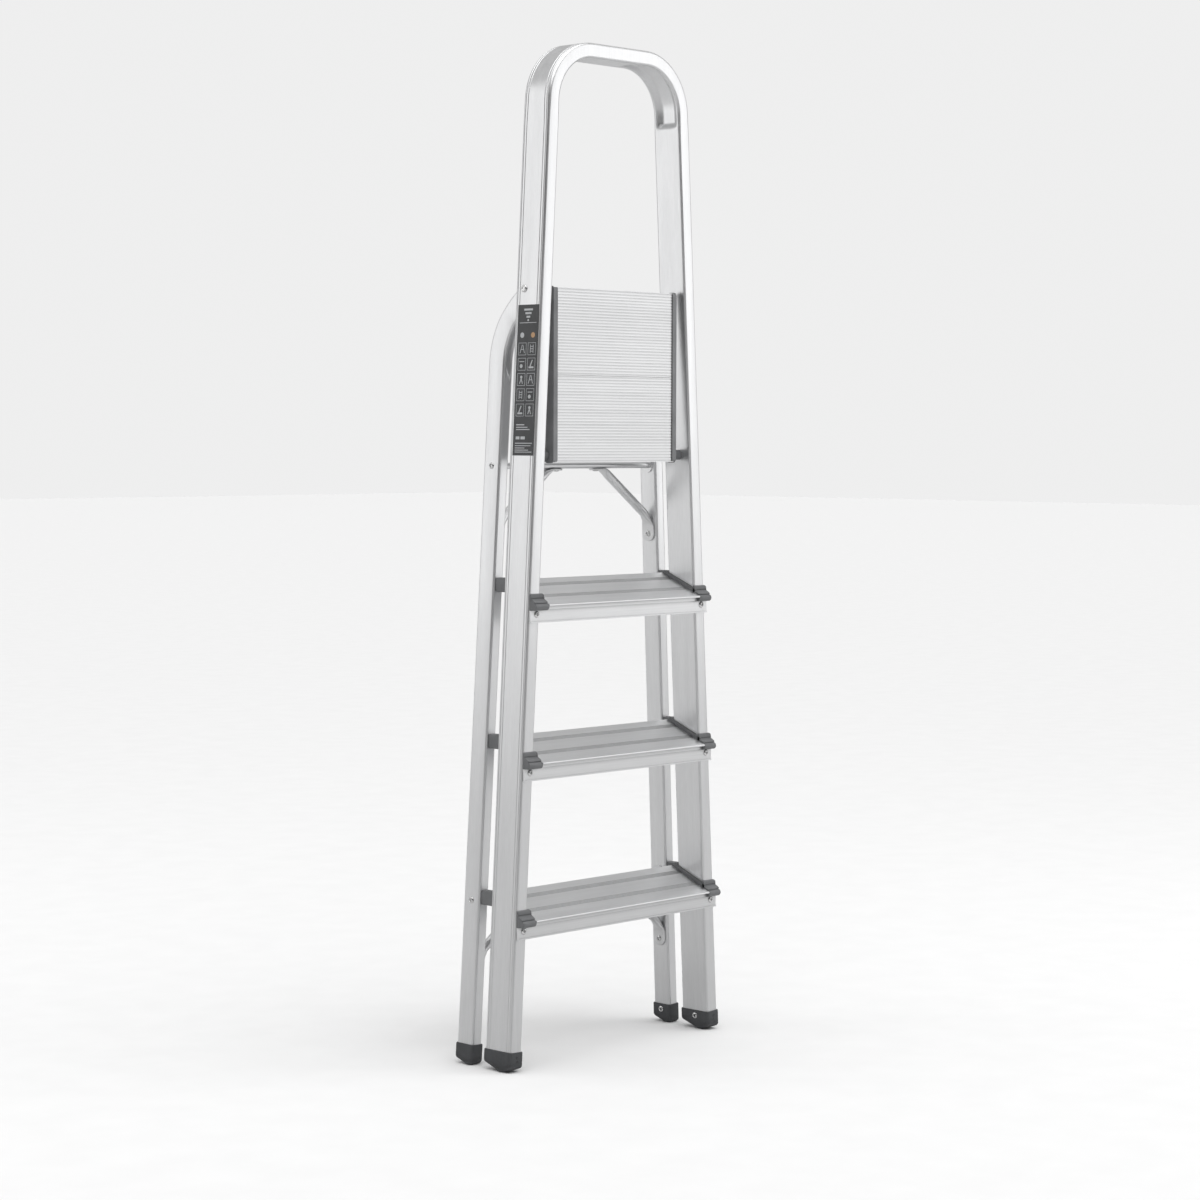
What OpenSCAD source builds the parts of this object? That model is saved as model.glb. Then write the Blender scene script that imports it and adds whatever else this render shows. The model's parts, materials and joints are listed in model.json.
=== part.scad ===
// Folding step ladder with a hoop handrail, three treads and a folding platform.
// Y is measured from the front face of the stiles, and every node is shifted so that
// the origin is the middle of the footprint on the floor. It is drawn folded.

/* [Overall] */
// Height from the floor to the top of the hoop
total_height = 1370; // [1340:5:1400]
// Half of the straight length at the top of the hoop
hoop_x = 53.8; // [45:0.1:60]
// Lean of each leg towards the middle, in degrees
splay = 3.12; // [2.8:0.02:3.4]

/* [Front frame] */
// Width of the stile tube, across the ladder
stile_w = 20.5; // [18:0.5:22]
// Depth of the stile tube, front to back
stile_d = 48; // [46:0.5:50]
// Wall of the stile tube
stile_wall = 1; // [0.8:0.1:1.4]
// Outer radius of the two bends of the hoop
hoop_r = 85; // [75:1:95]

/* [Rear frame] */
// Width of the rear leg tube, across the ladder
rear_w = 17.4; // [17:0.2:18]
// Depth of the rear leg tube, front to back
rear_d = 29.5; // [28:0.5:31]
// Wall of the rear leg tube
rear_wall = 1; // [0.8:0.1:1.4]
// Distance of the rear leg's centreline from the front face of the stiles, at the floor
rear_y = 89.05; // [88:0.05:90]
// Lean of the rear leg towards the stile, in degrees
rear_lean = 0.46; // [0.4:0.02:0.5]
// Length of the rear leg from the floor to its bend
bend_z = 941; // [939:1:943]
// Radius of that bend, at the middle of the tube
bend_r = 109; // [108:0.5:110]
// How far the rear leg bends forwards, in degrees
bend_angle = 56.5; // [56:0.1:57]

/* [Hinges] */
// Distance of the frame hinge from the front face of the stiles
hinge_y = 32.6; // [32.4:0.1:32.8]
// Height of the frame hinge
hinge_z = 1037.8; // [1036:0.2:1039]
// Distance of the platform pivot from the front face of the stiles
pivot_y = 21.5; // [21:0.1:22]
// Height of the platform pivot
pivot_z = 817; // [816:0.5:818]
// Radius of the hinge rivets and platform pins
pin_r = 4; // [3.5:0.1:4.5]
// Radial gap between a pin and the part that turns on it
pin_gap = 0.05; // [0.03:0.01:0.1]

/* [Treads] */
// Height of the top edge of the highest tread's nosing
tread_z = 620; // [610:1:630]
// Height from one tread to the next
tread_pitch = 209.4; // [205:0.1:212]
// Tilt of a tread in the folded ladder, in degrees
tread_tilt = 23.2; // [19:0.1:25]
// How far the nosing stands in front of the stiles
nose_out = 14.5; // [13:0.5:16]
// Distance of a tread's back edge from the front face of the stiles
tread_back = 57.5; // [54:0.5:60]

/* [Platform] */
// Half of the platform's width between its two side channels
platform_half = 114.6; // [110:0.2:116]
// Height of one of its two planks
plank_h = 117; // [114:0.5:118]
// Thickness of a plank
plank_t = 14; // [12:0.5:14]
// Number of ribs on a plank
plank_ribs = 29; // [10:1:32]

/* [Feet] */
// Height of a foot cap
foot_h = 27; // [24:1:32]
// Thickness of a foot cap's wall
foot_wall = 2; // [1.5:0.1:3]
// Slope of the two facets of a sole, in degrees
sole_angle = 19; // [17:1:20]
// Width of the flat strip that stands on the floor
sole_flat = 6; // [4:1:8]

/* [Hidden] */
$fn = 64;

left = -1;
right = 1;
sides = [left, right];
tube_corner = 3;
corner_steps = 4;
slack = 50;

// The stile's centreline, and the bend of the hoop
hoop_mid_r = hoop_r - stile_w / 2;
hoop_z = total_height - hoop_r;
leg_len = (hoop_z + hoop_mid_r * sin(splay)) / cos(splay);
leg_x0 = hoop_x + sin(splay) * leg_len + hoop_mid_r * cos(splay);
half_width = leg_x0 + stile_w / 2 / cos(splay);

// Pieces of one tube that are joined end to end overlap by this much, one a hair slimmer
overlap = 1.5;
hair = 0.02;

// The tubes end a little above the soles
tube_start = 12;

// The rear leg's narrow neck, which enters the stile, and the eye at its end
neck_start = 37.5;
neck_w = 15.3;
neck_d = rear_d - 0.4;
neck_eye_r = 12.5;
slot_low = hinge_z - 43;
slot_high = hinge_z + 19;

hinge_head_r = 6;
hinge_head_h = 3;

// A tread's section, measured from the front of the nosing and its top edge
bead_r = 1.4;
nose_web = [-9, -7];
nose_web_t = 1.6;
plate_t = 2.2;
apron_y = -4;
apron_t = 2.4;
apron_low = -24.5;
apron_high = -8;
screw_drop = 13.3;
screw_inset = 10.5;
screw_r = 2;
cap_gap = 4;
cap_rise = 5;
band_rows = 4;
band_pitch = 2.2;
treads = [for (i = [0:2]) tread_z - i * tread_pitch];

// The platform
platform_y = 8;
plank_gap = 0.4;
platform_low = pivot_z - 9.5;
channel_w = 7.9;
channel_wall = 1.5;
channel_lip = 1.2;
channel_over = 1.2;
plank_end_gap = 2.5;
spacer_r = 7;

// Crossbars and braces
bar_d = 14;
bar_h = 8.4;
upper_bar_z = 802.1;
lower_bar_z = 219.6;
brace_r = 6.5;
brace_plate = 2.5;
brace_plate_w = 22;
brace_drop = 97;
brace_run = 90;
small_rivet_r = 2.5;

label_t = 0.3;
label_y = [3, 42];
label_z = [816, 1016.5];

// The footprint's middle, front to back
rear_foot_back = rear_y + rear_d / 2 + foot_wall - 0.06;
mid_y = (rear_foot_back - nose_out) / 2;

// X of the stile's outer face, and of its inner face, at height z
function outer_x(z) = half_width - tan(splay) * z;
function inner_x(z) = outer_x(z) - stile_w / cos(splay);

// Y of the rear leg's centreline at height z
function rear_mid_y(z) = rear_y - tan(rear_lean) * z;

// X of the rear leg's inner face at height z
function rear_inner_x(z) = leg_x0 - tan(splay) * z - rear_w / 2 / cos(splay);

// A rectangle around the origin with rounded corners
function rounded(w, d, r) = [
  for (corner = [0:3], step = [0:corner_steps])
    let (angle = 90 * (corner + step / corner_steps),
      cx = (corner == 0 || corner == 3 ? 1 : -1) * (w / 2 - r),
      cy = (corner < 2 ? 1 : -1) * (d / 2 - r))
      [cx + r * cos(angle), cy + r * sin(angle)]
];

// Shifts the ladder so that its footprint is centred
module place() {
  translate([0, -mid_y, 0]) children();
}

// Follows the centreline of the left or right leg: local Z runs up the leg
module leg_frame(side) {
  translate([side * leg_x0, 0, 0]) rotate([0, -side * splay, 0]) children();
}

// Follows the rear leg, which also leans forwards
module rear_frame_of(side) {
  leg_frame(side) translate([0, rear_y, 0]) rotate([rear_lean, 0, 0]) children();
}

// The space inside a stile's outer surface
module stile_envelope(side) {
  leg_frame(side) translate([-stile_w / 2, 0, 0]) cube([stile_w, stile_d, hoop_z]);
}

module along_x(x0, x1) {
  translate([x0, 0, 0]) rotate([90, 0, 90]) linear_extrude(x1 - x0) children();
}

// A domed rivet or screw head on the XY plane, rising along Z
module dome(r, h) {
  ball_r = (r * r + h * h) / (2 * h);
  intersection() {
    translate([0, 0, h - ball_r]) sphere(ball_r, $fn = 48);
    cylinder(r = r + 1, h = h, $fn = 48);
  }
}

// ---- Front frame

module hoop_path(inset) {
  profile = rounded(stile_w - 2 * inset, stile_d - 2 * inset, tube_corner - inset);
  start = inset > 0 ? tube_start - 1 : tube_start;
  for (side = sides)
    mirror([side == left ? 1 : 0, 0, 0])
      translate([hoop_x, stile_d / 2, hoop_z]) rotate([90, 0, 0]) rotate([0, 0, splay]) {
        rotate_extrude(angle = 90 - splay) translate([hoop_mid_r, 0]) polygon(profile);
        translate([hoop_mid_r, 0, 0]) rotate([90, 0, 0]) linear_extrude(leg_len - start) polygon(profile);
      }
  bar = rounded(stile_w - 2 * (inset + hair), stile_d - 2 * (inset + hair), tube_corner - inset);
  translate([-hoop_x - overlap, stile_d / 2, hoop_z + hoop_mid_r]) rotate([0, 90, 0])
    linear_extrude(2 * (hoop_x + overlap)) polygon(bar);
}

module front_frame() {
  slot_w = stile_w - 2 * stile_wall;
  color("gainsboro") place() difference() {
    hoop_path(0);
    hoop_path(stile_wall);
    for (side = sides) {
      leg_frame(side) translate([-slot_w / 2, stile_d - tube_corner - 2, slot_low / cos(splay)])
        cube([slot_w, tube_corner + 4, (slot_high - slot_low) / cos(splay)]);
      translate([side * (leg_x0 - tan(splay) * pivot_z - stile_w), pivot_y, pivot_z])
        rotate([0, side * 90, 0]) cylinder(r = pin_r, h = stile_w);
      for (z = treads)
        translate([side * (outer_x(z) - screw_inset), slack - 48, z - screw_drop])
          rotate([90, 0, 0]) cylinder(r = screw_r, h = 4);
    }
    translate([-half_width, hinge_y, hinge_z]) rotate([0, 90, 0])
      cylinder(r = pin_r, h = 2 * half_width);
    front_foot_rivet_holes();
  }
}

// ---- Treads

// Local frame of the tread's top plate: X up its slope, Y square to it
module tread_slope() {
  translate([bead_r - nose_out, -bead_r]) rotate(tread_tilt) translate([0, bead_r]) children();
}

plate_len = (tread_back + nose_out - bead_r) / cos(tread_tilt) + bead_r * tan(tread_tilt);

// The web set back under the nosing, and the shelf from it to the apron
module under_nose_section() {
  translate(nose_web) square([nose_web_t, -nose_web[1]]);
  translate(nose_web) square([apron_y + apron_t - nose_web[0], nose_web_t]);
}

module tread_section() {
  difference() {
    union() {
      tread_slope() {
        translate([0, -plate_t]) square([plate_len, plate_t]);
        translate([plate_len - plate_t, -14]) square([plate_t, 14]);
        translate([plate_len * 0.56, -12]) square([plate_t, 12]);
      }
      translate([bead_r - nose_out, -bead_r]) circle(bead_r, $fn = 32);
      under_nose_section();
      translate([apron_y, apron_high]) square([apron_t, 9]);
    }
    for (start = [0.28, 0.71], row = [0:band_rows - 1])
      tread_slope() translate([plate_len * start + row * band_pitch, -0.7]) square([1.1, 1]);
  }
}

module apron_section() {
  translate([apron_y, apron_low]) square([apron_t, apron_high - apron_low]);
  translate([apron_y - 1, apron_low]) square([apron_t, 1.6]);
}

module tread(z) {
  span = inner_x(z) - cap_gap;
  apron = outer_x(z + apron_low / 2);
  color("lightgray") place() difference() {
    union() {
      translate([0, 0, z]) along_x(-span, span) tread_section();
      translate([0, 0, z]) along_x(-apron, apron) apron_section();
    }
    for (side = sides)
      translate([side * (outer_x(z) - screw_inset), 0, z - screw_drop])
        rotate([90, 0, 0]) translate([0, 0, -2]) cylinder(r = screw_r, h = 10);
  }
}

// Side view of the plastic end piece, without its rear bumper, cut back behind the apron
module cap_section() {
  difference() {
    tread_slope() translate([2.5, -14]) square([plate_len - 2.5, 14 + cap_rise]);
    translate([-nose_out, apron_low]) square([nose_out + apron_y + apron_t, apron_high - apron_low]);
  }
  cap_nose_section();
}

module cap_nose_section() {
  polygon([[0, apron_high], [bead_r - nose_out, apron_high], [-nose_out, -bead_r],
    [-nose_out, 1], [-nose_out + 3, 5], [-3, 9], [0, 14]]);
}

module tread_cap(side, z) {
  span = inner_x(z) - cap_gap;
  bumper_end = rear_mid_y(z) - rear_d / 2 - 0.3;
  color("dimgray") place() difference() {
    translate([0, 0, z]) mirror([side == left ? 1 : 0, 0, 0]) {
      along_x(span, span + 2 * cap_gap) cap_section();
      along_x(span, outer_x(z)) cap_nose_section();
      along_x(span, outer_x(z) - 1) translate([apron_y + apron_t, apron_high - 12])
        square([-apron_y - apron_t, 13]);
      translate([span, stile_d - 1, 14]) cube([18, bumper_end - stile_d + 1, 19]);
    }
    stile_envelope(side);
    translate([side * (outer_x(z) - screw_inset), 0, z - screw_drop])
      rotate([90, 0, 0]) translate([0, 0, -2]) cylinder(r = screw_r, h = 10);
  }
}

module apron_screws() {
  color("silver") place() for (side = sides, z = treads)
    translate([side * (outer_x(z) - screw_inset), apron_y, z - screw_drop]) rotate([90, 0, 0]) {
      dome(4.5, 2.2);
      translate([0, 0, -7]) cylinder(r = screw_r, h = 7.5);
    }
}

module side_label() {
  color("dimgray") place() leg_frame(left)
    translate([-stile_w / 2 - label_t, label_y[0], label_z[0] / cos(splay)])
      cube([label_t, label_y[1] - label_y[0], label_z[1] - label_z[0]]);
}

// ---- Feet

// What lies under a sole whose flat strip is centred on apex
module below_sole(apex) {
  reach = 60;
  rise = reach * tan(sole_angle);
  flat = sole_flat / 2;
  along_x(-half_width - slack, half_width + slack) polygon([[apex - flat, 0], [apex + flat, 0],
    [apex + flat + reach, rise], [apex + flat + reach, -slack],
    [apex - flat - reach, -slack], [apex - flat - reach, rise]]);
}

module foot_shell(w, d) {
  translate([0, 0, -foot_h]) linear_extrude(2 * foot_h)
    polygon(rounded(w + 2 * foot_wall, d + 2 * foot_wall, tube_corner + 1));
}

module foot_socket(w, d) {
  translate([0, 0, tube_start]) linear_extrude(foot_h) polygon(rounded(w, d, tube_corner));
}

// A small domed rivet on the inner face of a foot: local X points at the middle of the ladder
module foot_rivet(side, w, shaft_only) {
  length = foot_wall + rear_wall + 1;
  translate([-side * (w / 2 + foot_wall), 0, 0]) rotate([0, -side * 90, 0]) {
    translate([0, 0, -length]) cylinder(r = small_rivet_r, h = length + 0.3);
    if (!shaft_only) dome(4.2, 1.8);
  }
}

module front_rivet_place(side) {
  leg_frame(side) translate([0, 22.7, 19.5]) children();
}

module rear_rivet_place(side) {
  rear_frame_of(side) translate([0, 0, 19.5]) children();
}

module front_foot_rivet_holes() {
  for (side = sides) front_rivet_place(side) foot_rivet(side, stile_w, true);
}

module rear_foot_rivet_holes() {
  for (side = sides) rear_rivet_place(side) foot_rivet(side, rear_w, true);
}

module front_foot(side) {
  color("dimgray") place() difference() {
    leg_frame(side) translate([0, stile_d / 2, 0]) foot_shell(stile_w, stile_d);
    leg_frame(side) translate([0, stile_d / 2, 0]) foot_socket(stile_w, stile_d);
    below_sole(16.6);
    front_foot_rivet_holes();
    leg_frame(side) translate([-side * 3, 1 - foot_wall, 20]) rotate([90, 0, 0]) cylinder(r = 2, h = 4);
  }
}

module rear_foot(side) {
  color("dimgray") place() difference() {
    rear_frame_of(side) foot_shell(rear_w, rear_d);
    rear_frame_of(side) foot_socket(rear_w, rear_d);
    below_sole(rear_y - rear_d / 2 + 6.5);
    rear_foot_rivet_holes();
  }
}

module front_foot_rivets() {
  color("silver") place() for (side = sides)
    front_rivet_place(side) foot_rivet(side, stile_w, false);
}

module rear_foot_rivets() {
  color("silver") place() for (side = sides)
    rear_rivet_place(side) foot_rivet(side, rear_w, false);
}

// ---- Hinges

module hinge_rivets() {
  x = leg_x0 - tan(splay) * hinge_z;
  color("silver") place() for (side = sides) {
    translate([side * (x - stile_w / 2 - 1), hinge_y, hinge_z]) rotate([0, side * 90, 0])
      cylinder(r = pin_r, h = stile_w + 2);
    difference() {
      for (way = [-1, 1])
        translate([side * x + way * (stile_w / 2 - 0.6), hinge_y, hinge_z]) rotate([0, way * 90, 0])
          dome(hinge_head_r, hinge_head_h);
      stile_envelope(side);
    }
  }
}

module platform_pins() {
  color("silver") place() for (side = sides) {
    start = platform_half + channel_w - channel_wall - 2.1;
    translate([side * start, pivot_y, pivot_z]) rotate([0, side * 90, 0]) {
      cylinder(r = 6, h = 1.8);
      cylinder(r = pin_r, h = inner_x(pivot_z) - start + 5);
    }
  }
}

module platform_spacers() {
  start = platform_half + channel_w + 0.3;
  color("dimgray") place() for (side = sides) difference() {
    translate([side * start, pivot_y, pivot_z]) rotate([0, side * 90, 0]) cylinder(r = spacer_r, h = 30);
    translate([side * (start - 1), pivot_y, pivot_z]) rotate([0, side * 90, 0]) cylinder(r = pin_r, h = 40);
    stile_envelope(side);
  }
}

// ---- Rear frame

module rear_leg_path(inset) {
  profile = rounded(rear_w - 2 * inset, rear_d - 2 * inset, tube_corner - inset);
  turned = [for (p = profile) [p[1], p[0]]];
  start = inset > 0 ? tube_start - 1 : tube_start;
  neck = rounded(neck_d - 2 * inset, neck_w - 2 * inset, tube_corner - inset);
  eye_w = neck_w - 0.2 - 2 * inset;
  translate([0, rear_y, 0]) rotate([rear_lean, 0, 0]) {
    translate([0, 0, start]) linear_extrude(bend_z - start) polygon(profile);
    translate([0, -bend_r, bend_z]) rotate([90, 0, 90]) {
      rotate_extrude(angle = neck_start - inset / 2) translate([bend_r, 0]) polygon(turned);
      rotate([0, 0, neck_start - 1])
        rotate_extrude(angle = bend_angle - neck_start + 1) translate([bend_r, 0]) polygon(neck);
    }
  }
  translate([-eye_w / 2, hinge_y, hinge_z / cos(splay)]) rotate([0, 90, 0])
    cylinder(r = neck_eye_r + inset, h = eye_w);
}

module rear_leg(side) {
  color("gainsboro") place() difference() {
    leg_frame(side) rear_leg_path(0);
    leg_frame(side) rear_leg_path(rear_wall);
    translate([0, hinge_y, hinge_z]) rotate([0, side * 90, 0])
      cylinder(r = pin_r + pin_gap, h = half_width);
    rear_foot_rivet_holes();
    for (z = [upper_bar_z, lower_bar_z]) {
      crossbar_rivet_place(side, z) crossbar_rivet_shaft(side);
      brace_rivet_place(side, z) brace_rivet_shaft(side);
    }
  }
}

// The flattened oval section of a crossbar
module bar_section(inset) {
  r = bar_h / 2 - inset;
  span = (bar_d - bar_h) / 2;
  for (way = [-1, 1]) translate([way * span, 0]) circle(r);
  square([2 * span, 2 * r], center = true);
}

module crossbar(z) {
  reach = rear_inner_x(z) + 3;
  y = rear_mid_y(z);
  color("gainsboro") place() difference() {
    union() {
      translate([0, y, z]) along_x(-reach, reach) bar_section(0);
      for (side = sides)
        rear_frame_of(side) translate([-side * (rear_w / 2 + 1), 0, z / cos(splay)]) rotate([0, 90, 0])
          cylinder(r = 10, h = 2, center = true);
    }
    translate([0, y, z]) along_x(-reach - 1, reach + 1) bar_section(1.2);
    for (side = sides)
      rear_frame_of(side) translate([-rear_w / 2, -rear_d, z - slack])
        cube([rear_w, 2 * rear_d, 2 * slack]);
    for (side = sides) {
      crossbar_rivet_place(side, z) crossbar_rivet_shaft(side);
      translate([side * brace_tab_x(z), y, z - bar_h]) cylinder(r = small_rivet_r, h = bar_h);
    }
  }
}

// The middle of the leg's outer face, at the height of a crossbar
module crossbar_rivet_place(side, z) {
  rear_frame_of(side) translate([side * rear_w / 2, 0, z / cos(splay)]) rotate([0, side * 90, 0])
    children();
}

module crossbar_rivet_shaft(side) {
  translate([0, 0, -rear_w - 3.5]) cylinder(r = small_rivet_r, h = rear_w + 3.8);
}

module crossbar_rivets() {
  color("silver") place() for (side = sides, z = [upper_bar_z, lower_bar_z])
    crossbar_rivet_place(side, z) {
      crossbar_rivet_shaft(side);
      dome(4.6, 2);
    }
}

// A brace runs from a tab under the crossbar down to a plate on the leg's inner face
function brace_plate_z(z) = z - brace_drop;
function brace_leg_x(z) = rear_inner_x(brace_plate_z(z));
function brace_knee_x(z) = brace_leg_x(z) - brace_run;
function brace_tab_x(z) = brace_knee_x(z) - 22;

module brace_rivet_place(side, z) {
  rear_frame_of(side) translate([-side * (rear_w / 2 + brace_plate), 0, brace_plate_z(z) / cos(splay)])
    rotate([0, -side * 90, 0]) children();
}

module brace_rivet_shaft(side) {
  length = brace_plate + rear_wall + 1.5;
  translate([0, 0, -length]) cylinder(r = small_rivet_r, h = length + 0.3);
}

// Where the pressed end of a brace starts, inside the round tube
module brace_throat() {
  cylinder(r = brace_r - 0.2, h = 0.2, $fn = 32);
}

module brace(side, z) {
  y = rear_mid_y(z - brace_drop / 2);
  top = z - bar_h / 2;
  knee = [side * brace_knee_x(z), y, top - 7];
  foot = [side * (brace_leg_x(z) - 9), y, brace_plate_z(z) + 27];
  slope = atan2(abs(foot[0] - knee[0]), knee[2] - foot[2]);
  color("gainsboro") place() difference() {
    union() {
      // The round middle of the tube
      translate(foot) rotate([0, -side * slope, 0]) cylinder(r = brace_r, h = norm(knee - foot));
      // Its upper end, pressed flat under the crossbar
      hull() {
        translate(knee) rotate([0, -side * slope, 0]) translate([0, 0, -4]) brace_throat();
        translate([side * (brace_knee_x(z) - 11), y, top - brace_plate / 2])
          cube([4, 17.6, brace_plate - 0.4], center = true);
      }
      translate([side * brace_tab_x(z), y, top - brace_plate]) cylinder(r = 9, h = brace_plate, $fn = 32);
      translate([side * (brace_tab_x(z) + 6.5), y, top - brace_plate / 2])
        cube([13, 18, brace_plate], center = true);
      // Its lower end, pressed flat against the leg
      hull() {
        translate(foot) rotate([0, -side * slope, 0]) translate([0, 0, 4]) brace_throat();
        rear_frame_of(side)
          translate([-side * (rear_w / 2 + brace_plate / 2), 0, brace_plate_z(z) / cos(splay) + 11])
            cube([brace_plate - 0.4, brace_plate_w - 0.4, 4], center = true);
      }
      rear_frame_of(side)
        translate([-side * (rear_w / 2 + brace_plate / 2), 0, brace_plate_z(z) / cos(splay)]) {
          rotate([0, 90, 0]) cylinder(r = brace_plate_w / 2, h = brace_plate, center = true);
          translate([0, 0, 7]) cube([brace_plate, brace_plate_w, 14], center = true);
        }
    }
    brace_rivet_place(side, z) brace_rivet_shaft(side);
    translate([side * brace_tab_x(z), rear_mid_y(z), top - slack / 2]) cylinder(r = small_rivet_r, h = slack);
  }
}

module brace_rivets() {
  color("silver") place() for (side = sides, z = [upper_bar_z, lower_bar_z]) {
    brace_rivet_place(side, z) {
      brace_rivet_shaft(side);
      dome(4.4, 2);
    }
    translate([side * brace_tab_x(z), rear_mid_y(z), z - bar_h / 2 - brace_plate]) rotate([180, 0, 0]) {
      dome(4.2, 1.8);
      translate([0, 0, -brace_plate - 2.5]) cylinder(r = small_rivet_r, h = brace_plate + 2.8);
    }
  }
}

// ---- Platform

plank_len = platform_half + channel_w - channel_wall - plank_end_gap;

// A hollow plank with a ribbed face towards the front
module plank_section() {
  pitch = (plank_h - plank_gap) / plank_ribs;
  difference() {
    square([plank_t, plank_h - plank_gap]);
    for (i = [0:plank_ribs - 1])
      translate([-1, pitch * (i + 0.3)]) square([1.7, pitch * 0.4]);
    for (i = [0:2])
      translate([2.2, 1.4 + i * (plank_h - plank_gap - 1.4) / 3])
        square([plank_t - 3.6, (plank_h - plank_gap - 1.4) / 3 - 1.4]);
  }
}

module plank(index) {
  color("lightgray") place() translate([0, platform_y, platform_low + index * plank_h])
    along_x(-plank_len, plank_len) plank_section();
}

// Side view of the channel that closes the platform's side
module channel_outline() {
  low = platform_low - channel_over;
  height = 2 * plank_h + 2 * channel_over;
  depth = plank_t + 2 * channel_lip;
  translate([platform_y - channel_lip + depth / 2, low + height / 2]) polygon(rounded(depth, height, 5));
}

module platform_channel(side) {
  web = platform_half + channel_w - channel_wall;
  inner_h = 2 * plank_h + 2 * slack;
  color("dimgray") place() mirror([side == left ? 1 : 0, 0, 0]) difference() {
    union() {
      along_x(platform_half, web + channel_wall) channel_outline();
      along_x(web, web + channel_wall) translate([pivot_y, pivot_z]) circle(9);
    }
    translate([platform_half - 1, platform_y, platform_low - slack])
      cube([web - platform_half + 1, plank_t, inner_h]);
    translate([platform_half - 1, platform_y, pivot_z - slack])
      cube([web - platform_half + 1, 2 * plank_t, slack + 12]);
    translate([0, pivot_y, pivot_z]) rotate([0, 90, 0]) cylinder(r = pin_r + pin_gap, h = 200);
  }
}

front_frame();
tread(treads[0]);  // top_tread
tread(treads[1]);  // middle_tread
tread(treads[2]);  // bottom_tread
tread_cap(left, treads[0]);  // top_cap_left
tread_cap(right, treads[0]);  // top_cap_right
tread_cap(left, treads[1]);  // middle_cap_left
tread_cap(right, treads[1]);  // middle_cap_right
tread_cap(left, treads[2]);  // bottom_cap_left
tread_cap(right, treads[2]);  // bottom_cap_right
apron_screws();
side_label();
front_foot(left);  // front_foot_left
front_foot(right);  // front_foot_right
front_foot_rivets();
hinge_rivets();
platform_pins();
platform_spacers();
rear_leg(left);  // rear_leg_left
rear_leg(right);  // rear_leg_right
crossbar(upper_bar_z);  // upper_crossbar
crossbar(lower_bar_z);  // lower_crossbar
crossbar_rivets();
brace(left, upper_bar_z);  // upper_brace_left
brace(right, upper_bar_z);  // upper_brace_right
brace(left, lower_bar_z);  // lower_brace_left
brace(right, lower_bar_z);  // lower_brace_right
brace_rivets();
rear_foot(left);  // rear_foot_left
rear_foot(right);  // rear_foot_right
rear_foot_rivets();
plank(1);  // upper_plank
plank(0);  // lower_plank
platform_channel(left);  // platform_channel_left
platform_channel(right);  // platform_channel_right
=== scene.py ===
"""Folding aluminium step ladder: looks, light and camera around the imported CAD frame.

Lengths are in metres. X runs across the ladder, Y from the treads' nosings to the rear legs, Z up.
"""

import json
import math

import bmesh
import bpy
from mathutils import Matrix, Vector


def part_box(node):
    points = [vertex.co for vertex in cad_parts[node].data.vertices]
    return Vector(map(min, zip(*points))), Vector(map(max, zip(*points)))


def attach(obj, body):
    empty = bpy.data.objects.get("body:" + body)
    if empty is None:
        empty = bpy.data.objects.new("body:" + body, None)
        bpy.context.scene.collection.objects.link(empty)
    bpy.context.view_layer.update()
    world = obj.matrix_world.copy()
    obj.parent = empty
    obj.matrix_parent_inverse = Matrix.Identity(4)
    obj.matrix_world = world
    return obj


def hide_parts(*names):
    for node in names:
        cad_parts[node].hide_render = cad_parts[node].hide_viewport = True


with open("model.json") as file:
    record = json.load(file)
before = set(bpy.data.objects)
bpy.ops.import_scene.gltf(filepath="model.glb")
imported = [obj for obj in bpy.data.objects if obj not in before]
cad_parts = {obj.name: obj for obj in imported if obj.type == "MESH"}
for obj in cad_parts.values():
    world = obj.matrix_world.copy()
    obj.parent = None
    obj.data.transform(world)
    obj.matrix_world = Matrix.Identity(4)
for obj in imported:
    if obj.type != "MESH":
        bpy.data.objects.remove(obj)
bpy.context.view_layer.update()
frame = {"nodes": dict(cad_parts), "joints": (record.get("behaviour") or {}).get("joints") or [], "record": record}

MM = 0.001

# ---- Sizes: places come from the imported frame, and sections and slopes repeat the part's own

FRAME_LOW, FRAME_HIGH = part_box("front_frame")
STILE_FRONT = FRAME_LOW.y
TOTAL_HEIGHT = FRAME_HIGH.z
SPLAY = math.radians(3.12)
STILE_W = 20.5 * MM
STILE_CORNER = 3 * MM
STILE_D = FRAME_HIGH.y - FRAME_LOW.y
HOOP_X = 53.8 * MM
HOOP_R = 85 * MM
TUBE_START = 12 * MM

REAR_W = 17.4 * MM
REAR_D = 29.5 * MM
REAR_LEAN = math.radians(0.46)
REAR_HEEL = REAR_D / 2 * math.cos(REAR_LEAN) - TUBE_START * math.sin(REAR_LEAN)
REAR_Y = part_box("rear_leg_left")[1].y - STILE_FRONT - REAR_HEEL
REAR_BEND_Z = 941 * MM
REAR_BEND_R = 109 * MM
NECK_W = 15.3 * MM
# Degrees round the rear leg's bend where it has narrowed to its neck, and where it ends
NECK_START = 37.5
NECK_END = 56.5

HINGE = Vector(frame["joints"][0]["pos_m"])
CAP_DROP = 20 * MM
TREAD_ROWS = ("top", "middle", "bottom")
TREAD_TOPS = [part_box(row + "_cap_left")[0].z + CAP_DROP for row in TREAD_ROWS]
# TREAD_BACK is the back of the sloping top, measured from the stile's front
TREAD_TILT = math.radians(23.2)
NOSE_OUT = STILE_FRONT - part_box("top_tread")[0].y
TREAD_BACK = 57.5 * MM
CAP_GAP = 4 * MM
BEAD_R = 1.4 * MM

# The lowest line of each sole, measured back from the tube's front
FRONT_APEX = 16.6 * MM
REAR_APEX = 6.5 * MM
FOOT_H = 27 * MM
FOOT_WALL = 2 * MM
SOLE_SLOPE = math.tan(math.radians(19))
SOLE_FLAT = 6 * MM

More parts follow.
